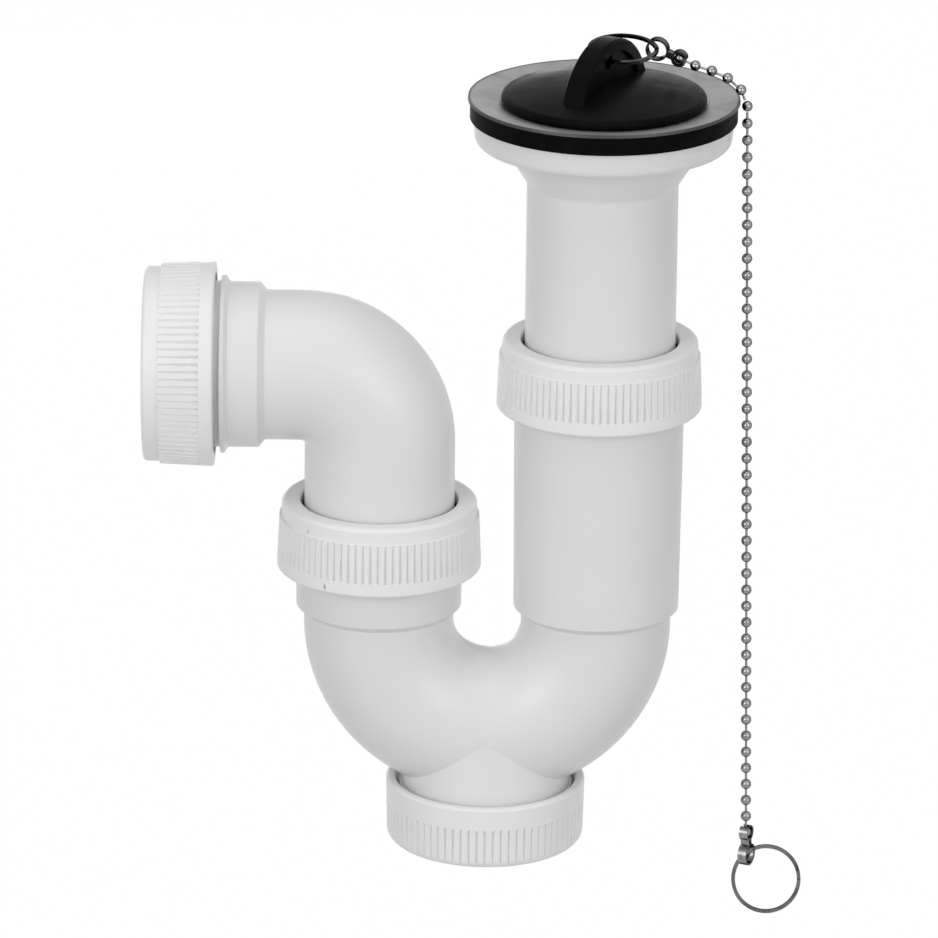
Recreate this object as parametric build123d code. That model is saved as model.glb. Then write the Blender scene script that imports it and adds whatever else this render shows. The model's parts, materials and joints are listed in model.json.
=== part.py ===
from build123d import *
import math
import os

# Tubular sink trap with its 70 mm waste, plug and ball chain, in millimetres.
# Z is up, the waste's axis is X = Y = 0, and Z = 0 is the sink's surface under the steel rim.
# The outlet leg stands at -X of the inlet leg, and the elbow points to -X.

# Steel flange and gasket
flange_od = 70.8
steel_sheet = 0.8
dish_od = 50.0
dish_drop = 1.9
cup_floor_od = 41.0
cup_depth = 8.2
drain_hole_d = 8.0
drain_hole_count = 6
drain_circle_d = 26.0
steel_round = 1.6
gasket_inset = 0.6
gasket_bore_d = 52.0
gasket_thick = 4.8

# White waste body under the sink
body_flange_inset = 1.5
body_flange_taper = 0.6
body_flange_thick = 6.8
body_flange_round = 2.2
throat_cone_od = 53.0
throat_round = 2.0
throat_cone_height = 10.4
tail_od = 39.5
tail_wall = 2.0
tail_length = 118.0
spider_arm_count = 3
spider_arm_thick = 2.4
spider_height = 8.0
boss_d = 11.0

# Centre screw and its brass insert
screw_d = 5.0
screw_head_d = 10.5
screw_head_height = 2.4
screw_slot = 1.4
screw_length = 15.0
insert_od = 7.4
insert_length = 8.0

# Plug with its arched fin handle
plug_od = 53.4
plug_edge = 2.6
plug_lip = 0.6
plug_dome = 3.4
plug_skirt_d = 37.0
plug_skirt_wall = 2.2
plug_skirt_depth = 4.6
fin_length = 40.6
fin_rise = 16.2
fin_thick = 6.0
fin_rim = 3.0
fin_recess = 1.1
fin_round = 1.0
fin_heading = 63.5
fin_eye_d = 4.4
fin_eye_height = 11.0
fin_eye_shift = -1.6

# Split rings, chain and chain clips
ring_od = 18.6
ring_wire = 0.8
ring_height = 1.4
ring_groove = 0.2
ring_slit = 0.5
ring_slack = 0.3
plug_ring_tilt = 12.0
bead_d = 2.8
bead_sides = 8
bead_pitch = 4.6
link_d = 0.8
link_sides = 6
hanging_beads = 44
chain_lean = 1.16
drape_run = (0.096, 0.294, 0.527, 0.768, 1.0)
drape_rise = (0.384, 0.635, 0.771, 0.857, 1.0)
clip_bead_x = 19.5
clip_bead_y = 6.1
clip_bead_z = 9.6
clip_strip = 0.5
clip_width = 2.4
clip_cup_d = 3.2
clip_eye_d = 5.0
clip_reach = 6.2
clip_neck = 1.7
upper_clip_aim = (-0.923, 0.179, 0.341)
lower_ring_normal = (-0.271, -0.922, -0.275)
lower_ring_hang = (0.611, 0.056, -0.789)

# Bends and sockets of the trap
bend_od = 39.6
bend_wall = 2.0
leg_spacing = 57.5
pipe_od = 40.0
pipe_fit = 0.3
socket_od = 43.7
socket_flare = 1.0
socket_chamfer = 1.8
inlet_mouth_drop = 72.2
inlet_socket_length = 68.6
bend_straight = 2.8
outlet_mouth_rise = 26.4
mouth_countersink = 4.0
mouth_lip = 0.6

# Elbow
elbow_rise = 44.0
elbow_bend_radius = 21.0
elbow_leg_length = 66.0
elbow_arm = 54.7
elbow_tube_run = 9.0
elbow_collar_od = 46.8
elbow_collar_gap = 2.0
elbow_collar_thick = 1.0

# Compression nuts
nut_height = 18.6
nut_band_height = 14.2
nut_open_od = 54.0
nut_band_od = 52.8
nut_ring_od = 51.5
nut_ring_round = 1.2
nut_edge_round = 0.8
nut_hole_d = 41.4
nut_lip = 3.0
nut_rib_count = 84
nut_rib_depth = 0.5
nut_rib_width = 1.1
nut_land = 3.7
thread_od = 46.0
thread_length = 11.0
thread_gap = 0.9

# Cone seals and slip rings
seal_fit = 0.25
seal_od = 45.6
seal_proud = 2.4
seal_nose = 3.0
slip_ring_od = 46.6
slip_ring_thick = 1.6
slip_ring_fit = 0.45

# Cleanout
cleanout_reach = 56.8
neck_od = 44.6
neck_bore_d = 37.0
neck_blend = 16.8
neck_sink = 0.1
cap_od = 53.0
cap_taper = 0.8
cap_height = 17.3
cap_floor = 2.4
cap_round = 2.6
cap_rim_round = 0.9
cap_rib_count = 76
cap_rib_drop = 6.2
cap_rib_depth = 0.5
cap_rib_width = 1.1
washer_od = 45.6
washer_id = 38.0
washer_thick = 2.0

# Clearances
face_gap = 0.1
run_gap = 0.35

# Radii and heights that follow from the sizes above
flange_r = flange_od / 2
gasket_r = flange_r - gasket_inset
body_flange_r = flange_r - body_flange_inset
tail_r = tail_od / 2
bend_r = bend_od / 2
bend_bore_r = bend_r - bend_wall
socket_r = socket_od / 2
socket_bore_r = pipe_od / 2 + pipe_fit
thread_r = thread_od / 2
thread_bore_r = thread_r + thread_gap
bead_r = bead_d / 2
bead_flat = bead_r * math.cos(math.pi / bead_sides)
bead_pole_r = bead_r * math.sin(math.pi / bead_sides)
bend_radius = leg_spacing / 2
nut_setback = nut_height - nut_lip - seal_proud - slip_ring_thick - 2 * face_gap
inlet_mouth_z = -inlet_mouth_drop
bend_z = inlet_mouth_z - inlet_socket_length - bend_straight
outlet_mouth_z = bend_z + outlet_mouth_rise
elbow_z = outlet_mouth_z + elbow_rise
neck_end_z = bend_z - cleanout_reach
body_top_z = -gasket_thick - face_gap
body_under_z = body_top_z - body_flange_thick
cone_end_z = body_under_z - throat_cone_height
steel_floor_z = -cup_depth + steel_sheet


def section(points, rounds=()):
    """Flat section through (radius, height) corners, with (corner number, radius) rounds."""
    face = make_face(Polyline(*points, close=True))
    for corner, radius in rounds:
        face = fillet(face.vertices().sort_by_distance(points[corner])[0], radius)
    return face


def turned(points, rounds=()):
    """Solid turned about Z from the corners of half its section."""
    return revolve(Plane.XZ * section(points, rounds), Axis.Z)


def tube(outer_r, inner_r, low, high):
    """Plain ring or tube standing on Z = low."""
    return turned(((inner_r, low), (outer_r, low), (outer_r, high), (inner_r, high)))


def sheet(points, thickness):
    """Corners of a bent sheet: the given line and the same line moved to its left."""
    line = [Vector(*point) for point in points]
    runs = [(b - a).normalized() for a, b in zip(line, line[1:])]
    runs = [runs[0], *runs, runs[-1]]
    far = []
    for point, before, after in zip(line, runs, runs[1:]):
        normal = Vector(-before.Y - after.Y, before.X + after.X).normalized()
        half_turn = math.radians(before.get_angle(after)) / 2
        far.append(point + normal * (thickness / math.cos(half_turn)))
    return [(p.X, p.Y) for p in line + far[::-1]]


def around(count, solid):
    """Copies of a solid spread evenly round Z."""
    return [Rot(0, 0, 360 * i / count) * solid for i in range(count)]


def grooves(count, radius, depth, width, low, high):
    """V-shaped grip grooves along Z, cut this deep into the given radius."""
    over = depth
    flat = make_face(Polyline(
        (radius - depth, 0), (radius + over, width), (radius + over, -width), close=True))
    return around(count, Pos(0, 0, low) * extrude(flat, high - low))


def dished_z(radius):
    """Height of the steel rim's underside at a radius."""
    return -dish_drop * (flange_r - radius) / (flange_r - dish_od / 2)


def make_steel_flange():
    """Pressed rim, cup and strainer floor in one sheet."""
    line = ((screw_d / 2 + run_gap, -cup_depth), (cup_floor_od / 2, -cup_depth),
            (dish_od / 2, -dish_drop), (flange_r, 0))
    flange = turned(sheet(line, steel_sheet), (
        (1, steel_round), (2, steel_round), (5, steel_round + steel_sheet), (6, steel_sheet)))
    drain = Pos(drain_circle_d / 2, 0, -cup_depth) * Cylinder(drain_hole_d / 2, 4 * steel_sheet)
    return flange - around(drain_hole_count, drain)


def make_flange_gasket():
    """Rubber ring squeezed between the steel rim and the waste body."""
    outer, inner = gasket_r, gasket_bore_d / 2
    return turned(((inner, -gasket_thick), (outer, -gasket_thick),
                   (outer, dished_z(outer) - face_gap), (inner, dished_z(inner) - face_gap)))


def make_waste_body():
    """Flange, throat and tail tube moulded in one, with a spider for the screw."""
    mouth_r = dish_od / 2
    bore_r = tail_r - tail_wall
    throat_r = throat_cone_od / 2 - tail_wall
    outer = turned(((0, body_top_z), (body_flange_r, body_top_z),
                    (body_flange_r - body_flange_taper, body_under_z), (throat_cone_od / 2, body_under_z),
                    (tail_r, cone_end_z), (tail_r, -tail_length), (0, -tail_length)),
                   ((2, body_flange_round), (4, throat_round)))
    bore = turned(((0, body_top_z), (mouth_r, body_top_z), (throat_r, body_under_z),
                   (bore_r, cone_end_z), (bore_r, -tail_length), (0, -tail_length)))
    spider_z = -cup_depth - face_gap
    arm = Pos(0, 0, spider_z - spider_height) * Box(
        mouth_r, spider_arm_thick, spider_height, align=(Align.MIN, Align.CENTER, Align.MIN))
    boss = Pos(0, 0, spider_z) * Cylinder(
        boss_d / 2, spider_height, align=(Align.CENTER, Align.CENTER, Align.MAX))
    spider = (boss + around(spider_arm_count, arm)) & bore
    hole = Pos(0, 0, spider_z) * Cylinder(insert_od / 2, 4 * insert_length)
    return outer - bore + (spider - hole)


def make_brass_insert():
    """Threaded sleeve pressed into the spider's boss."""
    top = -cup_depth - face_gap
    return tube(insert_od / 2 - face_gap, screw_d / 2 + face_gap, top - insert_length, top)


def make_centre_screw():
    """Slotted screw that pulls the steel cup down on the spider."""
    seat = steel_floor_z + face_gap
    head = turned(((0, seat), (screw_head_d / 2, seat), (screw_head_d / 2, seat + screw_head_height),
                   (0, seat + screw_head_height)), ((2, screw_head_height / 2),))
    shank = Pos(0, 0, seat) * Cylinder(
        screw_d / 2, screw_length, align=(Align.CENTER, Align.CENTER, Align.MAX))
    slot = Pos(0, 0, seat + screw_head_height) * Box(screw_head_d, screw_slot, screw_head_height)
    return head + shank - slot


def make_plug():
    """Domed stopper with a hollow skirt below and an arched fin on top."""
    edge_r = plug_od / 2
    rest_z = dished_z(edge_r) + steel_sheet + face_gap
    shoulder_z = rest_z + plug_edge
    crown_z = shoulder_z + plug_dome
    skirt_r = plug_skirt_d / 2
    skirt_z = rest_z - plug_skirt_depth
    shoulder_r = edge_r - plug_edge / 2
    dome_mid = (shoulder_r / 2, crown_z - plug_dome / 4)
    hollow_r = skirt_r - plug_skirt_wall
    lip_r = edge_r - plug_lip
    outline = Polyline((0, rest_z), (hollow_r, rest_z), (hollow_r, skirt_z), (skirt_r, skirt_z),
                       (skirt_r, rest_z), (lip_r, rest_z))
    edge = ThreePointArc((lip_r, rest_z), (edge_r, rest_z + plug_edge / 2), (shoulder_r, shoulder_z))
    dome = ThreePointArc((shoulder_r, shoulder_z), dome_mid, (0, crown_z))
    axis = Line((0, crown_z), (0, rest_z))
    stopper = revolve(Plane.XZ * make_face([outline, edge, dome, axis]), Axis.Z)
    fin = make_fin(shoulder_z - plug_edge / 2)
    return stopper + fin


def make_fin(foot_z):
    """Arched handle standing on the dome, with sunk sides and an eye for the ring."""
    half = fin_length / 2
    side = Plane.XZ * make_face([ThreePointArc((-half, foot_z), (0, fin_rise), (half, foot_z)),
                                 Line((half, foot_z), (-half, foot_z))])
    plate = extrude(side, fin_thick / 2, both=True)
    plate = fillet(plate.edges().filter_by(GeomType.CIRCLE), fin_round)
    inset = half - fin_rim - fin_rim / 2
    panel = Plane.XZ * make_face([
        ThreePointArc((-inset, foot_z), (0, fin_rise - fin_rim), (inset, foot_z)),
        Line((inset, foot_z), (-inset, foot_z))])
    sunk = extrude(panel, fin_thick, both=True)
    web = Box(fin_length, fin_thick - 2 * fin_recess, 4 * fin_rise)
    eye = Pos(fin_eye_shift, 0, fin_eye_height) * Rot(90, 0, 0) * Cylinder(fin_eye_d / 2, 2 * fin_thick)
    return Rot(0, 0, fin_heading) * (plate - (sunk - web) - eye)


def make_split_ring():
    """Two flat turns of spring wire lying on each other, with a slit at each end of the wire."""
    outer, inner = ring_od / 2, ring_od / 2 - ring_wire
    top, notch = ring_height / 2, ring_groove
    ring = turned(((inner, -top), (outer, -top), (outer, -notch), (outer - notch, 0), (outer, notch),
                   (outer, top), (inner, top), (inner, notch), (inner + notch, 0), (inner, -notch)))
    slit = Box(4 * ring_wire, ring_slit, top, align=(Align.CENTER, Align.CENTER, Align.MIN))
    upper_end = Rot(0, 0, 25) * Pos(outer, 0, 0) * slit
    lower_end = Rot(0, 0, -25) * Pos(outer, 0, -top) * slit
    return ring - [upper_end, lower_end]


def make_clip():
    """Folded strip: an eye round the split ring at the origin and a cup for the end bead along +X."""
    cup = Pos(clip_reach, 0) * Circle(clip_cup_d / 2 + clip_strip)
    eye = Circle(clip_eye_d / 2 + clip_strip)
    neck = Pos(clip_reach / 2, 0) * Rectangle(clip_reach, clip_neck)
    hollow = [Pos(clip_reach, 0) * Circle(clip_cup_d / 2), Circle(clip_eye_d / 2)]
    slot = Pos(clip_reach + clip_cup_d / 2, 0) * Rectangle(clip_cup_d, 2 * link_d)
    return extrude(cup + eye + neck - hollow - slot, clip_width / 2, both=True)


def bead_row(points):
    """Faceted beads of the chain, one at each point, with their poles along the chain."""
    waist = RegularPolygon(bead_flat, bead_sides)
    pole = RegularPolygon(bead_pole_r, bead_sides)
    rings = [Pos(0, 0, -bead_flat) * pole, Pos(0, 0, -bead_pole_r) * waist,
             Pos(0, 0, bead_pole_r) * waist, Pos(0, 0, bead_flat) * pole]
    bead = loft(rings, ruled=True)
    runs = [b - a for a, b in zip(points, points[1:])]
    return [Plane(point, z_dir=run) * bead for point, run in zip(points, [*runs, runs[-1]])]


def link_row(points):
    """Wire links between neighbouring beads; the first one stops short of the rim bead, which turns."""
    links = []
    start = bead_r + run_gap
    for a, b in zip(points, points[1:]):
        along = (b - a).normalized()
        end = (b - a).length - bead_flat - face_gap / 2
        wire = extrude(RegularPolygon(link_d / 2, link_sides), end - start)
        links.append(Plane(a + along * start, z_dir=along) * wire)
        start = bead_flat + face_gap / 2
    return links


def drape():
    """Bead centres from the rim bead back over the flange to the clip on the plug's ring."""
    rim = Vector(flange_r + bead_r + run_gap, 0, -bead_r)
    span = Vector(clip_bead_x, clip_bead_y, clip_bead_z) - rim
    steps = [Vector(span.X * run, span.Y * run, span.Z * rise) for run, rise in zip(drape_run, drape_rise)]
    return [rim, *[rim + step for step in steps]]


def hanging():
    """Bead centres from the rim bead down the hanging run."""
    lean = math.radians(chain_lean)
    step = Vector(math.sin(lean), 0, -math.cos(lean)) * bead_pitch
    return [drape()[0] + step * i for i in range(hanging_beads + 1)]


def clip_plane(cup, toward_eye, across):
    """Plane of a clip whose cup holds the bead at the first point, with its eye in the given direction."""
    return Plane(cup + toward_eye * clip_reach, x_dir=toward_eye * -1, z_dir=across)


def upper_clip_eye():
    """Eye of the clip that ties the drape to the plug's ring, and the way to it from the end bead."""
    toward_eye = Vector(*upper_clip_aim).normalized()
    return drape()[-1] + toward_eye * clip_reach, toward_eye


def plug_ring_plane():
    """Ring through the fin's eye and the upper clip's eye."""
    mid_r = (ring_od - ring_wire) / 2
    heading = math.radians(fin_heading)
    hole = Vector(fin_eye_shift * math.cos(heading), fin_eye_shift * math.sin(heading), fin_eye_height)
    eye, toward_eye = upper_clip_eye()
    span = eye + toward_eye * ring_slack - hole
    side = Vector(-span.Y, span.X, 0).normalized().rotate(Axis((0, 0, 0), span), plug_ring_tilt)
    centre = hole + span / 2 + side * math.sqrt(mid_r ** 2 - (span.length / 2) ** 2)
    return Plane(centre, x_dir=span, z_dir=span.cross(side))


def upper_clip_plane():
    """Clip between the drape and the plug's ring, turned to let the ring pass through its eye."""
    eye, toward_eye = upper_clip_eye()
    ring = plug_ring_plane()
    tangent = ring.z_dir.cross(eye - ring.origin)
    return clip_plane(drape()[-1], toward_eye, tangent - toward_eye * toward_eye.dot(tangent))


def lower_clip_plane():
    """Clip at the chain's free end, turned to let the ring pass through its eye."""
    points = hanging()
    down = (points[-1] - points[-2]).normalized()
    tangent = Vector(*lower_ring_normal).cross(Vector(*lower_ring_hang))
    flat = Vector(tangent.X, tangent.Y, 0).normalized()
    return clip_plane(points[-1], down, flat - down * down.dot(flat))


def lower_ring_plane():
    """Ring hanging from the lower clip's eye."""
    mid_r = (ring_od - ring_wire) / 2
    eye = lower_clip_plane()
    hang = Vector(*lower_ring_hang).normalized()
    normal = Vector(*lower_ring_normal)
    normal = normal - hang * hang.dot(normal)
    return Plane(eye.origin - eye.x_dir * ring_slack + hang * mid_r, x_dir=hang, z_dir=normal)


def make_nut():
    """Ribbed compression nut standing open end down, with the socket's mouth at Z = 0."""
    low = -nut_setback
    step = low + nut_band_height
    top = low + nut_height
    bore_top = top - nut_lip
    hole_r = nut_hole_d / 2
    nut = turned(((thread_bore_r, low), (nut_open_od / 2, low), (nut_band_od / 2, step),
                  (nut_ring_od / 2, step), (nut_ring_od / 2, top), (hole_r, top), (hole_r, bore_top),
                  (thread_bore_r, bore_top)),
                 ((1, nut_edge_round), (4, nut_ring_round), (5, nut_edge_round)))
    return nut - grooves(nut_rib_count, nut_band_od / 2, nut_rib_depth, nut_rib_width / 2,
                         low + nut_land, step + face_gap)


def make_seal():
    """Cone seal whose nose sits in the socket's mouth."""
    bore = pipe_od / 2 + seal_fit
    shoulder_r = thread_r - mouth_lip - seal_fit
    slope = (thread_r - mouth_lip - socket_bore_r) / mouth_countersink
    nose_r = shoulder_r - slope * seal_nose
    return turned(((bore, -seal_nose), (nose_r, -seal_nose), (shoulder_r, face_gap),
                   (seal_od / 2, face_gap), (seal_od / 2, seal_proud), (bore, seal_proud)))


def make_slip_ring():
    """Thin hard ring that lets the nut turn without twisting the seal."""
    low = seal_proud + face_gap
    return tube(slip_ring_od / 2, pipe_od / 2 + slip_ring_fit, low, low + slip_ring_thick)


def socket_bore(depth):
    """Bore of a socket with its mouth at Z = 0 and a countersink for the seal."""
    lip_r = thread_r - mouth_lip
    return turned(((0, 0), (lip_r, 0), (socket_bore_r, -mouth_countersink), (socket_bore_r, -depth),
                   (0, -depth)))


def socket_outside(length, tail, flare):
    """Outside of a threaded socket with its mouth at Z = 0, down to the plain tube."""
    chamfer = socket_chamfer
    return turned(((0, 0), (thread_r, 0), (thread_r, -thread_length),
                   (socket_r + flare, -thread_length), (socket_r, chamfer - length),
                   (bend_r, -length), (bend_r, -length - tail), (0, -length - tail)))


def make_trap_body():
    """Inlet socket, U-bend, outlet socket and cleanout neck in one moulding."""
    inlet = Pos(0, 0, inlet_mouth_z)
    outlet = Pos(-leg_spacing, 0, outlet_mouth_z)
    centre = Pos(-bend_radius, 0, bend_z)
    outlet_length = outlet_mouth_rise - bend_straight
    stop = socket_chamfer / 2

    def bend(radius):
        ring = Plane.XY * Pos(bend_radius, 0) * Circle(radius)
        return centre * revolve(ring, Axis.Y, 180)

    neck_top = bend_z - bend_radius
    neck = Pos(-bend_radius, 0, 0) * turned((
        (0, neck_top), (bend_r - neck_sink, neck_top), (neck_od / 2, neck_top - neck_blend),
        (neck_od / 2, neck_end_z + thread_length), (thread_r, neck_end_z + thread_length),
        (thread_r, neck_end_z), (0, neck_end_z)))
    neck_bore = Pos(-bend_radius, 0, neck_end_z) * Cylinder(
        neck_bore_d / 2, cleanout_reach - bend_radius, align=(Align.CENTER, Align.CENTER, Align.MIN))
    outside = [inlet * socket_outside(inlet_socket_length, bend_straight, socket_flare / 2),
               outlet * socket_outside(outlet_length, bend_straight, 0), bend(bend_r), neck]
    drop = Cylinder(bend_bore_r, inlet_socket_length + bend_straight,
                    align=(Align.CENTER, Align.CENTER, Align.MAX))
    rise = Cylinder(bend_bore_r, outlet_mouth_rise, align=(Align.CENTER, Align.CENTER, Align.MAX))
    inside = [inlet * socket_bore(inlet_socket_length - stop), inlet * drop,
              outlet * socket_bore(outlet_length - stop), outlet * rise,
              bend(bend_bore_r), neck_bore]
    solid = outside[0] + outside[1:]
    return solid - inside


def make_elbow():
    """Swivelling elbow: spigot leg, tight bend, and a threaded socket for the waste pipe."""
    knee = Pos(-leg_spacing, 0, elbow_z)
    leg_top = -elbow_bend_radius
    thread_end = elbow_arm - thread_length
    socket_end = thread_end - elbow_collar_gap
    tube_end = elbow_bend_radius + elbow_tube_run
    chamfer = socket_chamfer
    collar_r = elbow_collar_od / 2

    def run(radius):
        ring = Pos(elbow_bend_radius, 0) * Circle(radius)
        turn = Pos(leg_top, 0, leg_top) * revolve(ring, Axis.Y, -90)
        leg = Pos(0, 0, leg_top) * Cylinder(
            radius, elbow_leg_length - elbow_bend_radius, align=(Align.CENTER, Align.CENTER, Align.MAX))
        return turn, leg

    along = Rot(0, -90, 0)
    arm = along * turned((
        (0, elbow_bend_radius), (bend_r, elbow_bend_radius), (bend_r, tube_end),
        (socket_r, tube_end + chamfer), (socket_r, socket_end - 2 * elbow_collar_thick),
        (collar_r, socket_end - elbow_collar_thick), (collar_r, socket_end),
        (socket_r, socket_end), (socket_r, thread_end), (thread_r, thread_end),
        (thread_r, elbow_arm), (0, elbow_arm)))
    arm_bore = along * Pos(0, 0, elbow_bend_radius) * Cylinder(
        bend_bore_r, elbow_arm - elbow_bend_radius, align=(Align.CENTER, Align.CENTER, Align.MIN))
    pipe_seat = along * Pos(0, 0, elbow_arm) * socket_bore(elbow_arm - tube_end - chamfer)
    turn, leg = run(bend_r)
    turn_bore, leg_bore = run(bend_bore_r)
    return knee * (arm + [turn, leg] - [arm_bore, pipe_seat, turn_bore, leg_bore])


def make_cap():
    """Ribbed cleanout cap standing open end up, with the neck's end at Z = 0."""
    low = -washer_thick - 2 * face_gap - cap_floor
    top = low + cap_height
    low_r = (cap_od - cap_taper) / 2
    cap = turned(((0, low), (low_r, low), (cap_od / 2, top), (thread_bore_r, top),
                  (thread_bore_r, low + cap_floor), (0, low + cap_floor)),
                 ((1, cap_round), (2, cap_rim_round), (3, cap_rim_round)))
    return cap - grooves(cap_rib_count, low_r, cap_rib_depth, cap_rib_width / 2,
                         low - face_gap, top - cap_rib_drop)


def make_washer():
    """Flat rubber washer between the neck's end and the cap's floor."""
    top = -face_gap
    return tube(washer_od / 2, washer_id / 2, top - washer_thick, top)


def save(name, *solids):
    """Write one node; more than one solid makes a group."""
    shape = solids[0] if len(solids) == 1 else Compound([s for part in solids for s in part.solids()])
    export_step(shape, f"parts/{name}.step")


os.makedirs("parts", exist_ok=True)

# Waste under and over the sink
save("steel_flange", make_steel_flange())
save("flange_gasket", make_flange_gasket())
save("waste_body", make_waste_body())
save("brass_insert", make_brass_insert())
save("centre_screw", make_centre_screw())
save("plug", make_plug())

# Chain from the plug over the rim to its free ring
split_ring = make_split_ring()
clip = make_clip()
draped = drape()
hung = hanging()
save("plug_ring", plug_ring_plane() * split_ring)
save("upper_clip", upper_clip_plane() * clip)
save("draped_beads", *bead_row(draped)[1:])
save("draped_links", *link_row(draped))
save("rim_bead", Pos(hung[0]) * Sphere(bead_r))
save("hanging_beads", *bead_row(hung)[1:])
save("hanging_links", *link_row(hung))
save("lower_clip", lower_clip_plane() * clip)
save("lower_ring", lower_ring_plane() * split_ring)

# Trap, elbow and cleanout
save("trap_body", make_trap_body())
save("elbow", make_elbow())
cleanout = Pos(-bend_radius, 0, neck_end_z)
save("cleanout_cap", cleanout * make_cap())
save("cleanout_washer", cleanout * make_washer())

# The three compression joints share one nut, slip ring and cone seal
nut = make_nut()
slip_ring = make_slip_ring()
seal = make_seal()
joints = {
    "inlet": Pos(0, 0, inlet_mouth_z),
    "union": Pos(-leg_spacing, 0, outlet_mouth_z),
    "pipe": Pos(-leg_spacing - elbow_arm, 0, elbow_z) * Rot(0, -90, 0),
}
for joint, place in joints.items():
    save(f"{joint}_nut", place * nut)
    save(f"{joint}_slip_ring", place * slip_ring)
    save(f"{joint}_seal", place * seal)
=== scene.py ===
"""Looks of a tubular sink trap: finishes, screw threads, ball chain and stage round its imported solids."""

import json
import math

import bpy
from bpy.props import FloatProperty, FloatVectorProperty, IntProperty, PointerProperty
from bpy.types import Operator, Panel, PropertyGroup
from mathutils import Matrix, Vector


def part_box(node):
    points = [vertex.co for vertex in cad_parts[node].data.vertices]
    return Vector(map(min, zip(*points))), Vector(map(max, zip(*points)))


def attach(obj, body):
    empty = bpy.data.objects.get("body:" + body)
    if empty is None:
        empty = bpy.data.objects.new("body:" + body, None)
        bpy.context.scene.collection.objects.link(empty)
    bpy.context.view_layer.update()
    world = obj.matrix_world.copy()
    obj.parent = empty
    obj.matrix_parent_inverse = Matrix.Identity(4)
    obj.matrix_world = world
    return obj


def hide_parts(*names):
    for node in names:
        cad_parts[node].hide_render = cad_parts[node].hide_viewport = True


bl_info = {
    "name": "Tubular Sink Trap",
    "version": (1, 0, 0),
    "blender": (4, 5, 0),
    "location": "View3D > Sidebar > Sink Trap",
    "description": "Finishes, threads, chain and stage of a tubular sink trap with its waste and plug",
    "category": "Object",
}

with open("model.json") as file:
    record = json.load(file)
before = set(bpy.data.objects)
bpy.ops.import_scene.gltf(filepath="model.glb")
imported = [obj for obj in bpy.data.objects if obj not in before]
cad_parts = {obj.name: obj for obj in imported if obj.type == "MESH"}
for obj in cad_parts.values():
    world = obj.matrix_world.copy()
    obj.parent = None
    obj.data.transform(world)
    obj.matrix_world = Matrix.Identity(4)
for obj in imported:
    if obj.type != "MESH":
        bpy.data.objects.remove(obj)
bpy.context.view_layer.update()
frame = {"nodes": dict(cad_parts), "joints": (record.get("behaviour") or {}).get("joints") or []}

MOULDINGS = ("waste_body", "trap_body", "elbow")
GRIPS = ("inlet_nut", "union_nut", "pipe_nut", "cleanout_cap")
SLIP_RINGS = ("inlet_slip_ring", "union_slip_ring", "pipe_slip_ring")
SEALS = ("inlet_seal", "union_seal", "pipe_seal", "cleanout_washer")
# Places of the two dark flecks on the union nut
SPOTS = ((-0.0761, -0.0187, -0.1134), (-0.0714, -0.0226, -0.1269))
SCREW_JOINTS = {
    "inlet_nut": ("inlet_nut_turn", "trap"),
    "union_nut": ("union_nut_turn", "trap"),
    "pipe_nut": ("pipe_nut_turn", "elbow"),
    "cleanout_cap": ("cleanout_cap_turn", "trap"),
}

# Colour sockets of a Mix node
MIX_FROM, MIX_TO, MIX_RESULT = 6, 7, 2

# Angles from which an edge stays sharp
WOUND_SMOOTHING = math.radians(40)
CHAIN_SMOOTHING = math.radians(50)

# Marks: the draw above which a cell has a speck, and how much a distance from a fleck counts along each
# axis;
# painted shade: the share of the darkened band at the steel rim's edge that is fully dark
SPECK_DRAW = 0.86
FLECK_SQUASH = (1, 0.4, 0.45)
FULLY_DARK = 1 / 3

# A bead's pole: facet rings that its hole takes in, the border left round it and how far it is drawn in
POLE_RINGS = 1.2
POLE_BORDER = 0.04
POLE_DRAW = (0.9, 0.9, 0.72)

# A link: its facets, the share of a bead's radius where it goes in, the share of its length in each end,
# and its waist
LINK_SIDES = 10
LINK_SEAT = 0.94
LINK_END = 0.2
LINK_WAIST = 0.86

# Share of its root's width that a thread has at its crest
THREAD_TIP = 0.4

# A split ring: its turns, facets in one turn, the share of the coil's rise that is wire,
# and the share of that left at its outer edge
RING_TURNS = 2
RING_STEPS = 64
RING_WIRE_SHARE = 0.96
RING_TIP = 0.8

# The floor in metres: its side, how far it lies back, and the backdrop's height, bend and steps in the bend
FLOOR_SIDE = 8
FLOOR_BACK = 1.0
BACKDROP_HEIGHT = 4
BACKDROP_BEND = 1.2
BEND_STEPS = 12

# Share of white that the floor shows to the camera; what is left keeps the shadow
FLOOR_WHITE = 0.995


def colour(name, description, default):
    """Colour setting of a finish."""
    return FloatVectorProperty(
        name=name, description=description, subtype="COLOR", size=3, min=0, max=1, default=default)


def length(name, description, default):
    """Length setting in metres."""
    return FloatProperty(
        name=name, description=description, subtype="DISTANCE", unit="LENGTH", precision=5, default=default)


def turn(name, description, default):
    """Angle setting, given here in degrees."""
    return FloatProperty(
        name=name, description=description, subtype="ANGLE", unit="ROTATION", default=math.radians(default))


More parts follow.
